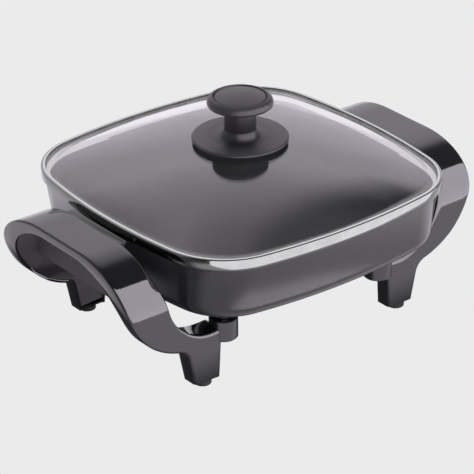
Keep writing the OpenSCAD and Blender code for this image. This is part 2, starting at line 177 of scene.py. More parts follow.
def swap_shader(nodes, links, factor, usual, other):
    """Makes the material show one shader where the factor is 0, and the other where it is 1."""
    mix = nodes.new("ShaderNodeMixShader")
    links.new(factor, mix.inputs["Fac"])
    links.new(usual, mix.inputs[1])
    links.new(other, mix.inputs[2])
    links.new(mix.outputs["Shader"], nodes["Material Output"].inputs["Surface"])


def noise(nodes, links, scale, detail):
    """A noise texture in object coordinates, in features per metre."""
    coord = nodes.new("ShaderNodeTexCoord")
    tex = nodes.new("ShaderNodeTexNoise")
    tex.inputs["Scale"].default_value = scale
    tex.inputs["Detail"].default_value = detail
    links.new(coord.outputs["Object"], tex.inputs["Vector"])
    return tex.outputs["Fac"]


def ramp(nodes, links, source, low, high, a=0.3, b=0.7):
    """low up to a, high from b on, and an even change between them."""
    node = nodes.new("ShaderNodeMapRange")
    node.inputs["From Min"].default_value = a
    node.inputs["From Max"].default_value = b
    node.inputs["To Min"].default_value = low
    node.inputs["To Max"].default_value = high
    links.new(source, node.inputs["Value"])
    return node.outputs["Result"]


def surface(name, dark, light, rough, bump, bump_scale, patch=40.0, metallic=0.0, ior=1.5):
    """A Principled material whose colour and roughness vary a little, with a fine bump."""
    mat, nodes, links = new_material(name)
    shader = nodes["Principled BSDF"]
    shader.inputs["Metallic"].default_value = metallic
    shader.inputs["IOR"].default_value = ior
    tone = ramp(nodes, links, noise(nodes, links, patch, 4.0), 0.0, 1.0)
    links.new(mix_colours(nodes, links, tone, dark, light), shader.inputs["Base Color"])
    grain = noise(nodes, links, bump_scale, 2.0)
    links.new(ramp(nodes, links, grain, rough[0], rough[1]), shader.inputs["Roughness"])
    node = nodes.new("ShaderNodeBump")
    node.inputs["Strength"].default_value = bump
    node.inputs["Distance"].default_value = 0.0001
    links.new(grain, node.inputs["Height"])
    links.new(node.outputs["Normal"], shader.inputs["Normal"])
    return mat


# painted reflections: a bright, a dark and a bright line painted round the band's lip in its base
# colour: level, and the heights about LIP_Z where the step up to it starts and ends
LIP_PAINTED_REFLECTIONS = ((0.4, -0.3, 0.0), (0.2, 0.14, 0.2), (0.6, 0.3, 0.36))


def band_material():
    """Polished steel with painted reflections: the lip over the glass is painted lighter than the
    wall, as a painted reflection of the sky, and the band glows pale to glossy rays.
    """
    mat = surface("band_steel", (0.15, 0.154, 0.143), (0.175, 0.18, 0.167), (0.08, 0.13), 0.02,
                  1400.0, 60.0, metallic=1.0)
    nodes, links = mat.node_tree.nodes, mat.node_tree.links
    shader = nodes["Principled BSDF"]
    tone = shader.inputs["Base Color"].links[0].from_socket
    height = place_of(nodes, links)["Z"]
    # painted reflection lines: the base colour steps to each level by height round the lip
    for level, start, end in LIP_PAINTED_REFLECTIONS:
        step = ramp(nodes, links, height, 0.0, 1.0, (LIP_Z + start) * MM, (LIP_Z + end) * MM)
        tone = mix_colours(nodes, links, step, tone, (level, level * 1.03, level * 0.95))
    links.new(tone, shader.inputs["Base Color"])
    # painted reflection: to glossy rays the band glows with a pale emission, so the glass mirrors
    # it as the pale strip that the sky would make of it
    path = nodes.new("ShaderNodeLightPath")
    painted_glow = nodes.new("ShaderNodeEmission")
    painted_glow.inputs["Color"].default_value = (1.0, 0.98, 1.0, 1)
    painted_glow.inputs["Strength"].default_value = 0.5
    swap_shader(nodes, links, path.outputs["Is Glossy Ray"], shader.outputs["BSDF"],
                painted_glow.outputs["Emission"])
    return mat


def glass_material():
    """Clear tempered glass. Shadow rays pass, so light reaches the pan below it."""
    mat, nodes, links = new_material("tempered_glass")
    shader = nodes["Principled BSDF"]
    shader.inputs["Base Color"].default_value = (0.97, 0.96, 0.97, 1)
    shader.inputs["Transmission Weight"].default_value = 1.0
    shader.inputs["IOR"].default_value = 1.65
    grain = noise(nodes, links, 25.0, 2.0)
    links.new(ramp(nodes, links, grain, 0.0, 0.012), shader.inputs["Roughness"])
    path = nodes.new("ShaderNodeLightPath")
    clear = nodes.new("ShaderNodeBsdfTransparent")
    clear.inputs["Color"].default_value = (0.87, 0.865, 0.87, 1)
    swap_shader(nodes, links, path.outputs["Is Shadow Ray"], shader.outputs["BSDF"],
                clear.outputs["BSDF"])
    return mat


GLASS = glass_material()
STEEL = band_material()
SCREW = surface("zinc_steel", (0.45, 0.45, 0.44), (0.6, 0.6, 0.59), (0.25, 0.4), 0.1, 1500.0,
                90.0, metallic=1.0)
BRASS = surface("brass", (0.55, 0.40, 0.18), (0.65, 0.5, 0.25), (0.25, 0.35), 0.1, 1500.0,
                90.0, metallic=1.0)
RUBBER = surface("rubber", (0.012, 0.012, 0.013), (0.02, 0.02, 0.021), (0.6, 0.8), 0.3, 2500.0)
KNOB = surface("knob_plastic", (0.068, 0.065, 0.069), (0.082, 0.078, 0.083), (0.36, 0.44), 0.06,
               2200.0, 60.0, ior=1.42)
HANDLE = surface("handle_plastic", (0.021, 0.0196, 0.0217), (0.025, 0.0233, 0.0258), (0.05, 0.08),
                 0.02, 1200.0, 30.0, ior=1.75)
LINER = surface("liner_plastic", (0.12, 0.114, 0.121), (0.14, 0.132, 0.141), (0.5, 0.6),
                0.06, 2000.0, 60.0, ior=1.12)
PAN = surface("pan_enamel", (0.030, 0.0285, 0.0315), (0.037, 0.035, 0.0385), (0.14, 0.2), 0.1,
              2600.0, 70.0, ior=1.45)
NONSTICK = surface("nonstick", (0.032, 0.032, 0.0325), (0.041, 0.041, 0.0415), (0.4, 0.55), 0.1,
                   2600.0, 50.0, ior=1.4)
SHEATH = surface("heater_sheath", (0.25, 0.25, 0.25), (0.36, 0.36, 0.35), (0.4, 0.55), 0.2,
                 1500.0, 80.0, metallic=1.0)
CERAMIC = surface("ceramic", (0.60, 0.58, 0.52), (0.7, 0.68, 0.62), (0.3, 0.4), 0.05, 900.0)
PLATED = surface("plated_contact", (0.62, 0.60, 0.55), (0.72, 0.7, 0.66), (0.15, 0.25), 0.05,
                 1500.0, 80.0, metallic=1.0)


# ---------------------------------------------------------------- lid
def dome_height(t):
    """Height of the glass at a share of its width, with the bend at the border rounded."""
    blend = 0.012
    d = BORDER_SHARE - t
    flat_slope = 2 * DOME_RISE / BORDER_SHARE
    if d < -blend:
        return BORDER_Z
    if d < blend:
        return BORDER_Z + flat_slope * (d + blend) ** 2 / (4 * blend)
    return BORDER_Z + DOME_RISE * (1 - (t / BORDER_SHARE) ** 2)


def dome_ring(t, drop=0.0):
    """The glass's outline at a share of its width, square at the border and round at the top."""
    ring = []
    for x, y in square_outline(BORDER_IN):
        n = math.hypot(x, y)
        k = t * ((1 - t * t) * DOME_R / n + t * t)
        ring.append((x * k, y * k, dome_height(t) - drop))
    return ring


def make_glass():
    hole = 0.0285                              # share of the width at the screw's hole
    shares = [1.0, 0.985, 0.972, 0.967, 0.962, 0.958, 0.954, 0.950, 0.946, 0.942, 0.935, 0.92,
              0.90] + [0.88 - 0.03 * i for i in range(29)] + [hole]
    top = [dome_ring(t) for t in shares]
    under = [dome_ring(t, GLASS_T) for t in shares]
    b = Build()
    b.grid(list(reversed(under)) + top, looped=True)
    b.object("glass_dome", GLASS, "lid", ["lid_glass"], sharp=50)


def make_band():
    """The wall and the lip over the glass, then back inside it to the ledge and the hem."""
    t, r = 0.8, 0.9                            # the sheet's thickness and the bend at the lip
    ledge_in, hem = 8.0, 4.0
    profile = [(0.5, BAND_Z), (0.15, BAND_Z + 0.15), (0, BAND_Z + 0.5), (0, LIP_Z - r)]
    profile += [(r - r * math.cos(a), LIP_Z - r + r * math.sin(a)) for a in (0.35, 0.7, 1.05, 1.3)]
    profile += [(1.0, LIP_Z + 0.12), (2.0, LIP_Z + 0.35), (3.0, LIP_Z + 0.42),
                (3.9, LIP_Z + 0.38), (4.15, LIP_Z + 0.15), (4.15, LIP_Z - 0.35), (2.4, LIP_Z - 0.5),
                (t, LIP_Z - t), (t, BAND_Z + t), (ledge_in, BAND_Z + t),
                (ledge_in, BAND_Z - hem), (ledge_in - t, BAND_Z - hem), (ledge_in - t, BAND_Z)]
    b = Build()
    b.grid(square_rings(profile), looped=True)
    b.object("band", STEEL, "lid", ["lid_rim"], sharp=35)


def rounded(points, n=4):
    """Profile corners given as (r, z, radius) become arcs."""
    out = []
    for i, p in enumerate(points):
        if len(p) == 2 or p[2] == 0 or i in (0, len(points) - 1):
            out.append((p[0], p[1]))
            continue
        here = Vector(p[:2])
        a, b = Vector(points[i - 1][:2]) - here, Vector(points[i + 1][:2]) - here
        half = a.angle(b) / 2
        cut = min(p[2] / math.tan(half), a.length * 0.49, b.length * 0.49)
        start, end = here + a.normalized() * cut, here + b.normalized() * cut
        for k in range(n + 1):
            t = k / n
            out.append(tuple((1 - t) ** 2 * start + 2 * t * (1 - t) * here + t * t * end))
    return out


def make_knob():
    """The heat guard, the grip with its stem and the disc, each turned from a profile."""
    skirt_z, stem_z, head_z = APEX_Z + 1, APEX_Z + 10.8, APEX_Z + 35.4
    cap_z, dome_r = APEX_Z + 38.3, 94.3
    stem_r, skirt_r, head_r, cap_r = 14.5, 44.3, 30.0, 23.6
    skirt = [(3, skirt_z), (12, skirt_z, 0.5), (13, skirt_z + 1), (skirt_r - 4.3, skirt_z + 0.4),
             (skirt_r - 2.2, skirt_z - 0.7, 0.8), (skirt_r - 0.4, skirt_z - 0.7, 1.2),
             (skirt_r, skirt_z + 0.7, 1.2), (skirt_r - 1.6, skirt_z + 2.1, 1.2),
             (skirt_r - 14, skirt_z + 2.6, 3)]
    skirt += arc(stem_r + 9, stem_z, 9, 240, 180, 10) + [(3, stem_z)]
    b = Build()
    b.lathe(rounded(skirt), n=144)
    b.object("knob_guard", KNOB, "lid", ["knob_skirt"], sharp=45)

    head = [(0, stem_z), (stem_r - 0.6, stem_z), (stem_r, stem_z + 0.6), (stem_r, head_z - 9.5)]
    head += arc(stem_r + 5, head_z - 9.5, 5, 170, 105, 8)
    head += arc(head_r - 2.8, head_z, 2.8, -82, -6, 9) + arc(head_r - 6.2, head_z, 6.2, 0, 80, 14)
    head += [(cap_r + 0.9, head_z + 5.6, 0.3), (cap_r + 0.25, head_z + 4.6, 0.3),
             (cap_r + 0.25, cap_z), (0, cap_z)]
    b = Build()
    b.lathe(rounded(head), n=144)
    b.object("knob_grip", KNOB, "lid", ["knob_head"], sharp=45)

    cap = [(0, cap_z), (cap_r - 0.3, cap_z), (cap_r, cap_z + 0.3), (cap_r, cap_z + 1.8)]
    cap += [(cap_r - 0.25, cap_z + 2.2), (cap_r - 0.7, cap_z + 2.5)]
    cap += [p for p in arc(0, cap_z + 5.4 - dome_r, dome_r, 75.5, 90, 18)
            if 0.5 < p[0] < cap_r - 1.2] + [(0.5, cap_z + 5.4), (0, cap_z + 5.4)]
    b = Build()
    b.lathe(cap, n=144)
    b.object("knob_disc", KNOB, "lid", ["knob_cap"], sharp=50)


# ---------------------------------------------------------------- pan
def make_pan():
    """The casting, from the middle of its underside over the lip to the middle of its inside."""
    outer_c = WALL_FOOT_IN + FILLET
    fillet_in = FILLET - PAN_T + 0.4
    inner_c = WALL_FOOT_IN + PAN_T + fillet_in
    inner_z = PAN_Z + FLOOR_T + fillet_in
    profile = [(outer_c + 3, PAN_Z)]
    profile += [(outer_c - FILLET * math.cos(math.radians(a)),
                 PAN_Z + FILLET - FILLET * math.sin(math.radians(a))) for a in range(90, -1, -6)]
    profile += [(WALL_TOP_IN + 0.15, PAN_TOP - 4.0), (WALL_TOP_IN - 0.4, PAN_TOP - 3.1),
                (2.3, PAN_TOP - 2.6), (2.0, PAN_TOP - 2.2), (2.0, PAN_TOP - 0.5),
                (2.4, PAN_TOP - 0.05), (2.8, PAN_TOP), (WALL_TOP_IN + PAN_T - 0.8, PAN_TOP),
                (WALL_TOP_IN + PAN_T - 0.1, PAN_TOP - 0.6)]
    inside = [(inner_c - fillet_in * math.cos(math.radians(a)),
               inner_z - fillet_in * math.sin(math.radians(a))) for a in range(0, 91, 6)]
    inside.append((inner_c + 3, PAN_Z + FLOOR_T))
    b = Build()
    rings = square_rings(profile + inside)
    b.grid(rings, caps=(True, True))
    n = len(rings[0])
    first_inside = (len(profile) - 1) * n
    inner_faces = [i for i, f in enumerate(b.f) if min(f) >= first_inside]

    # cast rib over the heater, as an open-topped ring that reaches into the bottom
    half, r, w = 85.0, 40.0, 15.0
    c = half - r
    rib_low, inside_z, e = 67.5, 79.0, 1.2     # e breaks the edges of the rib and the block

    def ring_of(offset, z):
        return [(x, y, z) for x, y in four_turns(arc(c, c, r + offset, 0, 90, 16))]
    b.grid([ring_of(w / 2, inside_z), ring_of(-w / 2, inside_z), ring_of(-w / 2, rib_low + e),
            ring_of(-w / 2 + e, rib_low), ring_of(w / 2 - e, rib_low),
            ring_of(w / 2, rib_low + e)], looped=True)
    # probe block
    x, y0, y1, z0, z1 = 22.0, 74.0, 120.0, 66.0, inside_z
    b.grid([[(sx, sy, z0) for sx, sy in ((-x + e, y0 + e), (x - e, y0 + e), (x - e, y1 - e),
                                        (-x + e, y1 - e))],
            [(sx, sy, z0 + e) for sx, sy in ((-x, y0), (x, y0), (x, y1), (-x, y1))],
            [(sx, sy, z1) for sx, sy in ((-x, y0), (x, y0), (x, y1), (-x, y1))]],
           caps=(True, True))
    # posts for the handles' screws and bosses for the guard's
    post_r, post_e = 7.5, 0.6
    boss_x, boss_y, boss_r, boss_e = 36.5, 129, 5, 0.5
    for sx in (-1, 1):
        for sy in (-1, 1):
            b.lathe([(0, BOSS_Z), (post_r - post_e, BOSS_Z), (post_r, BOSS_Z + post_e),
                     (post_r, inside_z), (0, inside_z)], sx * BOSS_X, sy * BOSS_Y, 48)
        b.lathe([(0, 75), (boss_r - boss_e, 75), (boss_r, 75 + boss_e), (boss_r, 80), (0, 80)],
                sx * boss_x, boss_y, 40)
    obj = b.object("pan_casting", PAN, "skillet", ["pan"], sharp=38)
    obj.data.materials.append(NONSTICK)
    for i in inner_faces:
        obj.data.polygons[i].material_index = 1


# ---------------------------------------------------------------- handles
LEG_OUT, LEG_IN, LEG_TOP_IN = 126.5, 98.3, 95.5
LEG_BACK, LEG_HIGH, BRACKET_BACK, BRACKET_LOW, BRACKET_HIGH = 79.0, 38.0, 73.0, 42.0, 52.0
VALLEY_X, VALLEY_Z, VALLEY_R = 108.0, 98.0, 46.0
BELLY_X, BELLY_Z, BELLY_R = 122.7, 114.7, 75.2
SHOULDER_R = 139.6
SHOULDER_X = GRIP_OUT - SHOULDER_R
SHOULDER_Z = BELLY_Z + math.sqrt((SHOULDER_R - BELLY_R) ** 2 - (SHOULDER_X - BELLY_X) ** 2)
CROOK_R, FLARE = 14.0, 0.214


def crook_centre():
    """The centre of the bend from the belly into the leg, and the leg's sideways direction."""
    d = Vector((FLARE, 1)).normalized()
    s = Vector((d.y, -d.x))
    start = Vector((LEG_OUT, FOOT_H)) + CROOK_R * s - Vector((BELLY_X, BELLY_Z))
    dot = start.dot(d)
    t = -dot - math.sqrt(dot * dot - start.dot(start) + (BELLY_R + CROOK_R) ** 2)
    return Vector((BELLY_X, BELLY_Z)) + start + t * d, s


CROOK, LEG_SIDE = crook_centre()
NECK = Vector((GRIP_IN, 121.0))
NECK_WAY = NECK - Vector((VALLEY_X, VALLEY_Z))
LIFT_A = math.degrees(math.atan2(NECK_WAY.y, NECK_WAY.x) - math.acos(VALLEY_R / NECK_WAY.length))
FALL_A = -90 - math.degrees(math.asin((VALLEY_X - LEG_TOP_IN) / VALLEY_R))
TOUCH = Vector(arc(VALLEY_X, VALLEY_Z, VALLEY_R, LIFT_A, LIFT_A, 1)[0])


def inner_x(z):
    """The handle's inner edge, seen from the side, down to the start of the valley's curve."""
    if z >= NECK.y:
        return GRIP_IN
    if z >= TOUCH.y:
        return TOUCH.x + (NECK.x - TOUCH.x) * (z - TOUCH.y) / (NECK.y - TOUCH.y)
    return VALLEY_X + math.sqrt(max(0.0, VALLEY_R ** 2 - (z - VALLEY_Z) ** 2))


def outer_x(z):
    """The handle's outer edge, seen from the side, down to the start of the belly's curve."""
    if z >= SHOULDER_Z:
        return GRIP_OUT
    return SHOULDER_X + math.sqrt(max(0.0, SHOULDER_R ** 2 - (z - SHOULDER_Z) ** 2))


def resample(points, n):
    """n + 1 points evenly along a polyline."""
    pts = [Vector(p) for p in points]
    run = [0.0]
    for a, b in zip(pts, pts[1:]):
        run.append(run[-1] + (b - a).length)
    out = []
    for k in range(n + 1):
        s = run[-1] * k / n
        i = max(j for j in range(len(run) - 1) if run[j] <= s + 1e-9)
        t = (s - run[i]) / max(run[i + 1] - run[i], 1e-9)
        out.append(pts[i].lerp(pts[i + 1], min(1.0, t)))
    return out


def with_directions(points):
    """Each point of a polyline, with the polyline's unit direction there."""
    out = []
    for i, p in enumerate(points):
        a, b = points[max(0, i - 1)], points[min(len(points) - 1, i + 1)]
        out.append((p, (b - a).normalized()))
    return out


def space_y(z):
    """Half-width of the open space under the handle at a height."""
    plate_back = PLATE_Y - PLATE_T
    if z >= ARCH_Z:
        return ARCH_Y + ARCH_RX * math.sqrt(max(0.0, 1 - ((z - ARCH_Z) / ARCH_RZ) ** 2))
    steps = [(LEG_HIGH, LEG_BACK), (BRACKET_LOW, BRACKET_BACK), (BRACKET_HIGH, BRACKET_BACK),
             (BRACKET_HIGH + 10, plate_back)]
    if z <= LEG_HIGH:
        return LEG_BACK
    for (z0, y0), (z1, y1) in zip(steps, steps[1:]):
        if z <= z1:
            return y0 + (y1 - y0) * (z - z0) / (z1 - z0)
    return plate_back


def arch_depth(p, n):
    """Distance from a point of the outer skin, against its normal, to the finger arch."""
    u = Vector(((p.x - ARCH_Y) / ARCH_RX, (p.y - ARCH_Z) / ARCH_RZ))
    v = Vector((n.x / ARCH_RX, n.y / ARCH_RZ))
    a, b, c = v.dot(v), -2 * u.dot(v), u.dot(u) - 1
    h = (-b - math.sqrt(max(0.0, b * b - 4 * a * c))) / (2 * a)
    if p.x - n.x * h < ARCH_Y:
        h = (p.y - (GRIP_Z - GRIP_T)) / n.y
    return h


def fillet(before, corner, after, r, n):
    """Points of an arc of radius r in a corner between two straight runs."""
    here = Vector(corner)
    u, v = (Vector(before) - here).normalized(), (Vector(after) - here).normalized()
    half = u.angle(v) / 2
    centre = here + (u + v).normalized() * (r / math.sin(half))
    start, end = here + u * (r / math.tan(half)) - centre, here + v * (r / math.tan(half)) - centre
    turn = start.angle_signed(end)
    out = []
    for k in range(n + 1):
        a = -turn * k / n
        c, s = math.cos(a), math.sin(a)
        out.append((centre.x + start.x * c - start.y * s, centre.y + start.x * s + start.y * c))
    return out


def round_ring(corners, n=6):
    """A closed outline whose corners (x, y, radius) become arcs."""
    out = []
    for i, p in enumerate(corners):
        out += fillet(corners[i - 1][:2], p[:2], corners[(i + 1) % len(corners)][:2], p[2], n)
    return out


def handle_rows():
    """Rows over half a handle. A row gives, for a side, an offset from that side's edge into the
    plate and a depth below the outer skin, the place of that point."""
    rows = []

    def top_row(a, y=None):
        """A row over the grip: at an angle of the end's oval, or on the flat part at a given y."""
        c, s = math.cos(math.radians(a)), math.sin(math.radians(a))
        p = Vector((END_Y + END_RX * c if y is None else y, END_Z + END_RZ * s))
        n = Vector((c / END_RX, s / END_RZ)).normalized()
        h = arch_depth(p, n)

        def place(side, e, d):
            q = p - n * d
            x = inner_x(q.y) + e if side == "in" else outer_x(q.y) - e
            return (x, q.x, q.y)
        return {"place": place, "h_in": h, "h_out": h, "leg": 0.0}

    top_n = 6
    for i in range(top_n):
        rows.append(top_row(90, END_Y * i / top_n))
    arc_n = 40
    for i in range(arc_n + 1):
        rows.append(top_row(90 - 90 * i / arc_n))

    belly = Vector((BELLY_X, BELLY_Z))
    contact = belly + (CROOK - belly).normalized() * BELLY_R     # where belly and crook meet
    start_in, start_out = (inner_x(END_Z), END_Z), (outer_x(END_Z), END_Z)
    sweep_in = [start_in] + arc(VALLEY_X, VALLEY_Z, VALLEY_R, LIFT_A, -90, 40)
    belly_a0 = math.degrees(math.atan2(BELLY_Z - SHOULDER_Z, BELLY_X - SHOULDER_X))
    belly_a1 = math.degrees(math.atan2(contact.y - BELLY_Z, contact.x - BELLY_X))
    turn = math.degrees(math.asin((END_Z - SHOULDER_Z) / SHOULDER_R))
    sweep_out = [start_out] + arc(SHOULDER_X, SHOULDER_Z, SHOULDER_R, turn, belly_a0, 10)[1:] \
        + arc(BELLY_X, BELLY_Z, BELLY_R, belly_a0, belly_a1, 40)[1:]
    corner = arc(VALLEY_X, VALLEY_Z, VALLEY_R, FALL_A, FALL_A, 1)[0]
    bend_in = arc(VALLEY_X, VALLEY_Z, VALLEY_R, -90, FALL_A + 6, 8)
    bend_in += fillet(bend_in[-1], corner, (LEG_IN, FOOT_H), 4.2, 10)
    crook_a0 = math.degrees(math.atan2(contact.y - CROOK.y, contact.x - CROOK.x))
    crook_a1 = math.degrees(math.atan2(-LEG_SIDE.y, -LEG_SIDE.x))
    if crook_a1 < 0:
        crook_a1 += 360
    bend_out = arc(CROOK.x, CROOK.y, CROOK_R, crook_a0, crook_a1, 16)
    leg_in = [bend_in[-1], (LEG_IN, FOOT_H)]
    leg_out = [bend_out[-1], (LEG_OUT, FOOT_H)]
    ins, outs = [], []
    for a, b, n in ((sweep_in, sweep_out, 34), (bend_in, bend_out, 16), (leg_in, leg_out, 8)):
        ra, rb = resample(a, n), resample(b, n)
        ins += ra if not ins else ra[1:]
        outs += rb if not outs else rb[1:]
    ins, outs = with_directions(ins), with_directions(outs)

    def plate_row(i):
        (pi, di), (po, do) = ins[i], outs[i]
        ni, no = Vector((-di.y, di.x)), Vector((do.y, -do.x))   # both point into the plate

        def place(side, e, d):
            q = pi + ni * e if side == "in" else po + no * e
            return (q.x, PLATE_Y - d, q.y)
        leg = max(0.0, min(1.0, (60 - po.y) / 16))
        return {"place": place, "h_in": PLATE_Y - space_y(pi.y), "h_out": PLATE_Y - space_y(po.y),
                "leg": leg}
    rows += [plate_row(i) for i in range(1, len(ins))]
    return rows


IN_ROUND, OUT_ROUND, LEG_ROUND, EDGE = 1.6, 2.4, 3.8, 0.7


def quarter(r, n):
    """Offsets (e, d) of a rounded corner, from (0, r) to (r, 0)."""
    return [(r - r * math.cos(math.pi / 2 * k / n), r - r * math.sin(math.pi / 2 * k / n))
            for k in range(n + 1)]


def between(a, b, t):
    """The point at a share of the way from a to b."""
    return tuple(p + (q - p) * t for p, q in zip(a, b))


def shell_section(row):
    """The closed cross-section of a handle's shell at a row."""
    place, hi, ho = row["place"], row["h_in"], row["h_out"]
    t = SHELL_T
    r_in = IN_ROUND + (LEG_ROUND - IN_ROUND) * row["leg"]
    r_out = OUT_ROUND + (LEG_ROUND - OUT_ROUND) * row["leg"]
    pts = [place("in", t, t), place("in", t, hi - EDGE)]
    pts += [place("in", t - e, hi - d) for e, d in quarter(EDGE, 2)[1:]]
    pts += [place("in", e, hi - d) for e, d in reversed(quarter(EDGE, 2))]
    pts += [place("in", e, d) for e, d in quarter(r_in, 6)]
    a, b = pts[-1], place("out", r_out, 0.0)
    pts += [between(a, b, k / 7) for k in range(1, 7)]
    pts += [place("out", e, d) for e, d in reversed(quarter(r_out, 6))]
    pts += [place("out", e, ho - d) for e, d in quarter(EDGE, 2)]
    pts += [place("out", t - e, ho - d) for e, d in reversed(quarter(EDGE, 2)[1:])]
    pts += [place("out", t, ho - EDGE), place("out", t, t)]
    return pts


def liner_section(row):
    """The closed cross-section of a handle's liner at a row."""
    place, hi, ho = row["place"], row["h_in"], row["h_out"]
    e, low, thick = SHELL_T + 0.15, 0.8, 2.0
    top_a, top_b = place("in", e, hi - low - thick), place("out", e, ho - low - thick)
    a, b = place("in", e, hi - low), place("out", e, ho - low)
    return [top_a, a] + [between(a, b, k / 4) for k in range(1, 4)] + [b, top_b]


def mirrored_rows(sections):
    """Sections over the whole handle from those over its half with Y above 0."""
    other = [[(x, -y, z) for x, y, z in s] for s in reversed(sections[1:])]
    return other + sections


def make_handle(side):
    """The shell with its screw bosses, leg ends and tab, and the liner with its inner wall."""
    mirror = side == "left"
    rows = handle_rows()
    b = Build()
    b.grid(mirrored_rows([shell_section(r) for r in rows]), caps=(True, True))
    boss_r, boss_low, e = 13, 39.3, 0.8
    for sy in (-1, 1):
        b.lathe([(0, boss_low), (boss_r - e, boss_low), (boss_r, boss_low + e),
                 (boss_r, BOSS_Z - e), (boss_r - e, BOSS_Z), (0, BOSS_Z)],
                BOSS_X, sy * BOSS_Y, 64)
        # closed lower end of the leg
        rings = []
        for c, z in ((1.0, FOOT_H + 0.02), (0.3, FOOT_H + 0.9), (0.3, FOOT_H + 2.8)):
            x0, x1, y0, y1 = LEG_IN + c, LEG_OUT - c, LEG_BACK + c, PLATE_Y - c
            ring = round_ring([(x0, y0, 0.5), (x1, y0, 0.5), (x1, y1, LEG_ROUND),
                               (x0, y1, LEG_ROUND)])
            rings.append([(x, sy * y, z) for x, y in (ring if sy > 0 else reversed(ring))])
        b.grid(rings, caps=(True, True))
    # tab beside the lid
    rings = []
    for c, z in ((0.5, TAB_Z), (0.0, TAB_Z + 0.5), (0.0, TAB_Z + TAB_T - 1.0),
                 (0.3, TAB_Z + TAB_T - 0.3), (1.0, TAB_Z + TAB_T)):
        ring = arc(TAB_IN + TAB_R, TAB_HALF - TAB_R, TAB_R - c, 90, 180, 6) \
            + arc(TAB_IN + TAB_R, TAB_R - TAB_HALF, TAB_R - c, 180, 270, 6) \
            + [(GRIP_IN + 1.5, c - TAB_HALF), (GRIP_IN + 1.5, TAB_HALF - c)]
        rings.append([(x, y, z) for x, y in ring])
    b.grid(rings, caps=(True, True))
    b.object("grip_" + side, HANDLE, "skillet", ["handle_" + side],
             mirror=mirror, sharp=35)
    b = Build()
    b.grid(mirrored_rows([liner_section(r) for r in rows[:-1]]), caps=(True, True))
    # the inner wall that keeps the fingers off the pan, and reaches a little into the shell
    lap = 1.8
    half = [(space_y(WEB_LOW) + lap, WEB_LOW)]
    half += [(ARCH_Y + (ARCH_RX + lap) * math.cos(math.radians(q)),
              ARCH_Z + (ARCH_RZ + lap) * math.sin(math.radians(q))) for q in range(5, 91, 5)]
    ring = half + [(-y, z) for y, z in reversed(half)]
    b.grid([[(x, y, z) for y, z in ring] for x in (WEB_X, WEB_X + WEB_T)], caps=(True, True))
    b.object("grip_liner_" + side, LINER, "skillet", ["liner_" + side],
             mirror=mirror, sharp=35)


make_glass()
make_band()
make_knob()
make_pan()
make_handle("left")
make_handle("right")

NODE_MATERIALS = {
    "rim_seal": RUBBER, "knob_insert": BRASS, "knob_gasket": RUBBER, "knob_under_gasket": RUBBER,
    "knob_washer": SCREW, "knob_screw": SCREW, "heating_element": SHEATH,
    "inlet_pin_left": PLATED, "inlet_pin_right": PLATED, "insulator_left": CERAMIC,
    "insulator_right": CERAMIC, "probe_sleeve": SCREW, "inlet_guard": LINER,
    "guard_screws": SCREW, "handle_screws": SCREW, "handle_washers": SCREW,
    "foot_front_left": RUBBER, "foot_front_right": RUBBER, "foot_rear_left": RUBBER,
    "foot_rear_right": RUBBER,
}
for node, material in NODE_MATERIALS.items():
    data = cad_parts[node].data
    data.materials.clear()
    data.materials.append(material)

# ---------------------------------------------------------------- camera
# angles in degrees, about a point inside the skillet, as solved from the photograph
AZIMUTH, ELEVATION, ROLL, DISTANCE, FOCAL_MM = -38.1459, 27.2854, -0.3959, 2.42915, 199.54
AIM = Vector((0.01192, 0.02097, 0.06))


def make_camera():
    data = bpy.data.cameras.new("camera")
    data.sensor_width = 36.0
    data.lens = FOCAL_MM
    data.clip_start, data.clip_end = 0.05, 50.0
    cam = bpy.data.objects.new("camera", data)
    bpy.context.scene.collection.objects.link(cam)
    a, e, roll = math.radians(AZIMUTH), math.radians(ELEVATION), math.radians(ROLL)
    back = Vector((math.sin(a) * math.cos(e), -math.cos(a) * math.cos(e), math.sin(e)))
    level = (-back).cross(Vector((0, 0, 1))).normalized()
    rise = level.cross(-back)
    right = level * math.cos(roll) + rise * math.sin(roll)
    up = rise * math.cos(roll) - level * math.sin(roll)
    pose = Matrix((right, up, back)).transposed().to_4x4()
    pose.translation = AIM + back * DISTANCE
    cam.matrix_world = pose
    bpy.context.scene.camera = cam


make_camera()


# ---------------------------------------------------------------- stage
def smooth_step(nodes, links, source, a, b, low, high):
    """As ramp, with a soft start and end."""
    result = ramp(nodes, links, source, low, high, a, b)
    result.node.interpolation_type = "SMOOTHSTEP"
    return result


def math_node(nodes, links, kind, a, b):
    """A sum or another operation on two numbers or sockets."""
    node = nodes.new("ShaderNodeMath")
    node.operation = kind
    for i, v in enumerate((a, b)):
        if isinstance(v, float):
            node.inputs[i].default_value = v
        else:
            links.new(v, node.inputs[i])
    return node.outputs["Value"]


def pick(nodes, links, factor, a, b):
    """a where the factor is 0, b where it is 1."""
    node = nodes.new("ShaderNodeMix")
    links.new(factor, node.inputs["Factor"])
    for key, v in (("A", a), ("B", b)):
        if isinstance(v, float):
            node.inputs[key].default_value = v
        else:
            links.new(v, node.inputs[key])
    return node.outputs["Result"]


def seen_plainly(nodes, links):
    """1 for the camera's rays, also after they have passed straight through the glass."""
    path = nodes.new("ShaderNodeLightPath")
    turned = math_node(nodes, links, "ADD", path.outputs["Diffuse Depth"],
                       path.outputs["Glossy Depth"])
    straight = math_node(nodes, links, "SUBTRACT", path.outputs["Is Transmission Ray"], turned)
    return math_node(nodes, links, "MAXIMUM", path.outputs["Is Camera Ray"], straight)


def light_colour(nodes, links):
    """Plain to the camera, faintly violet to all other rays."""
    return mix_colours(nodes, links, seen_plainly(nodes, links), (1.0, 0.96, 1.055),
                       (1.0, 1.0, 1.0))


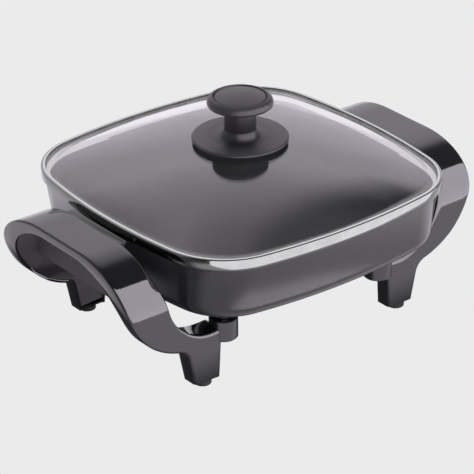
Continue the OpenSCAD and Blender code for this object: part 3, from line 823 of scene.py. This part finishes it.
def emitter(name, corners, glow_of, glossy_only=False):
    """A flat stage piece that shines. glow_of builds the strength from the node tree."""
    data = bpy.data.meshes.new(name)
    data.from_pydata(corners, [], [(0, 1, 2, 3)])
    mat, nodes, links = new_material(name)
    nodes.remove(nodes["Principled BSDF"])
    glow = nodes.new("ShaderNodeEmission")
    strength = glow_of(nodes, links)
    if isinstance(strength, float):
        glow.inputs["Strength"].default_value = strength
    else:
        links.new(strength, glow.inputs["Strength"])
    links.new(light_colour(nodes, links), glow.inputs["Color"])
    links.new(glow.outputs["Emission"], nodes["Material Output"].inputs["Surface"])
    data.materials.append(mat)
    obj = bpy.data.objects.new(name, data)
    bpy.context.scene.collection.objects.link(obj)
    obj.visible_shadow = False
    if glossy_only:
        obj.visible_camera = False
        obj.visible_diffuse = False
        obj.visible_transmission = False


PALE = 0.831              # the flat pale grey behind the skillet, as linear light
FLOOR_DIFFUSE = 0.7       # the light that the floor throws back on matt surfaces
# strength of the parts of the floor and of the light panel, as seen in reflections
FRONT_GLOW, LEFT_GLOW, RIGHT_GLOW, REAR_GLOW, PANEL_GLOW = 1.1, 0.9, 1.0, 1.08, 3.9
FLOOR_HALF, FLOOR_Z = 8.0, -0.0004
PANEL_LEFT, PANEL_RIGHT, PANEL_Y, PANEL_TOP = -0.32, 0.75, -0.233, 0.46


def floor_glow(nodes, links):
    """What the floor shows: even to the camera, shaded by place in reflections."""
    place = place_of(nodes, links)
    x, y = place["X"], place["Y"]
    # in front of the skillet
    front = math_node(nodes, links, "MULTIPLY",
                      smooth_step(nodes, links, x, -0.42, -0.32, 0.0, 1.0),
                      smooth_step(nodes, links, y, -0.15, -0.08, 1.0, 0.0))
    # left of it, fading forwards
    left = smooth_step(nodes, links, y, -0.02, 0.08, 0.2, LEFT_GLOW)
    # right of it; between x -0.2 and 0.16, under the skillet, the floor shows 0.05 to reflections,
    # a painted shadow of the skillet
    right = smooth_step(nodes, links, x, 0.16, 0.24, 0.05, RIGHT_GLOW)
    side = pick(nodes, links, smooth_step(nodes, links, x, -0.23, -0.20, 0.0, 1.0), left, right)
    rear = smooth_step(nodes, links, y, 0.14, 0.24, 0.0, 1.0)
    around = pick(nodes, links, rear, side, REAR_GLOW)
    seen = pick(nodes, links, front, around, FRONT_GLOW)
    path = nodes.new("ShaderNodeLightPath")
    seen = pick(nodes, links, path.outputs["Is Diffuse Ray"], seen, FLOOR_DIFFUSE)
    return pick(nodes, links, seen_plainly(nodes, links), seen, PALE)


emitter("floor", [(sx * FLOOR_HALF, sy * FLOOR_HALF, FLOOR_Z)
                  for sx, sy in ((-1, -1), (1, -1), (1, 1), (-1, 1))], floor_glow)
emitter("light_panel", [(PANEL_LEFT, PANEL_Y, 0.0), (PANEL_RIGHT, PANEL_Y, 0.0),
                        (PANEL_RIGHT, PANEL_Y, PANEL_TOP), (PANEL_LEFT, PANEL_Y, PANEL_TOP)],
        lambda nodes, links: PANEL_GLOW, True)

# light of the sky by the height of its direction, from the horizon at 0 to the zenith at 1
SKY = ((0.0, 0.55), (0.15, 0.57), (0.3, 0.64), (0.454, 0.68), (0.6, 0.80), (0.7, 0.66), (0.8, 0.40),
       (0.86, 0.25), (0.906, 0.16), (1.0, 0.06))
SKY_STRENGTH, SKY_LEAST = 1.5, 0.02


def make_sky():
    """An even pale backdrop to the camera, and in reflections a sky that is bright at the rear
    right and dark at the front and the left."""
    world = bpy.data.worlds.new("studio")
    bpy.context.scene.world = world
    world.use_nodes = True
    nodes, links = world.node_tree.nodes, world.node_tree.links
    for n in list(nodes):
        nodes.remove(n)
    toward = place_of(nodes, links, "Generated")
    backdrop = nodes.new("ShaderNodeValToRGB")
    links.new(toward["Z"], backdrop.inputs["Fac"])
    stops = backdrop.color_ramp.elements
    for i, (place, level) in enumerate(SKY):
        stop = stops[i] if i < 2 else stops.new(place)
        stop.position = place
        stop.color = (level, level, level, 1)
    glow = math_node(nodes, links, "MULTIPLY", backdrop.outputs["Color"], SKY_STRENGTH)
    slant = math_node(nodes, links, "MULTIPLY", toward["X"], 0.15)
    slant = math_node(nodes, links, "SUBTRACT", toward["Y"], slant)
    for share in (smooth_step(nodes, links, slant, 0.13, 0.34, 0.08, 1.0),
                  smooth_step(nodes, links, toward["X"], -0.1, 0.2, 0.4, 1.0)):
        glow = math_node(nodes, links, "MULTIPLY", glow, share)
    glow = math_node(nodes, links, "ADD", glow, SKY_LEAST)
    background = nodes.new("ShaderNodeBackground")
    links.new(pick(nodes, links, seen_plainly(nodes, links), glow, PALE),
              background.inputs["Strength"])
    links.new(light_colour(nodes, links), background.inputs["Color"])
    out = nodes.new("ShaderNodeOutputWorld")
    links.new(background.outputs["Background"], out.inputs["Surface"])


def make_key_light():
    """A large soft lamp above, which shines on matt surfaces and isn't mirrored."""
    side, watts = 1.2, 14.0
    lamp = bpy.data.lights.new("key", "AREA")
    lamp.shape, lamp.size, lamp.size_y, lamp.energy = "RECTANGLE", side, side, watts
    obj = bpy.data.objects.new("key", lamp)
    obj.location = (0.2, 0.3, 1.8)
    obj.rotation_euler = Vector((-0.2, -0.3, -1.75)).to_track_quat("-Z", "Y").to_euler()
    obj.visible_glossy = False
    obj.visible_transmission = False
    bpy.context.scene.collection.objects.link(obj)


make_sky()
make_key_light()

bpy.context.scene.view_settings.view_transform = "Standard"
bpy.context.scene.view_settings.look = "None"
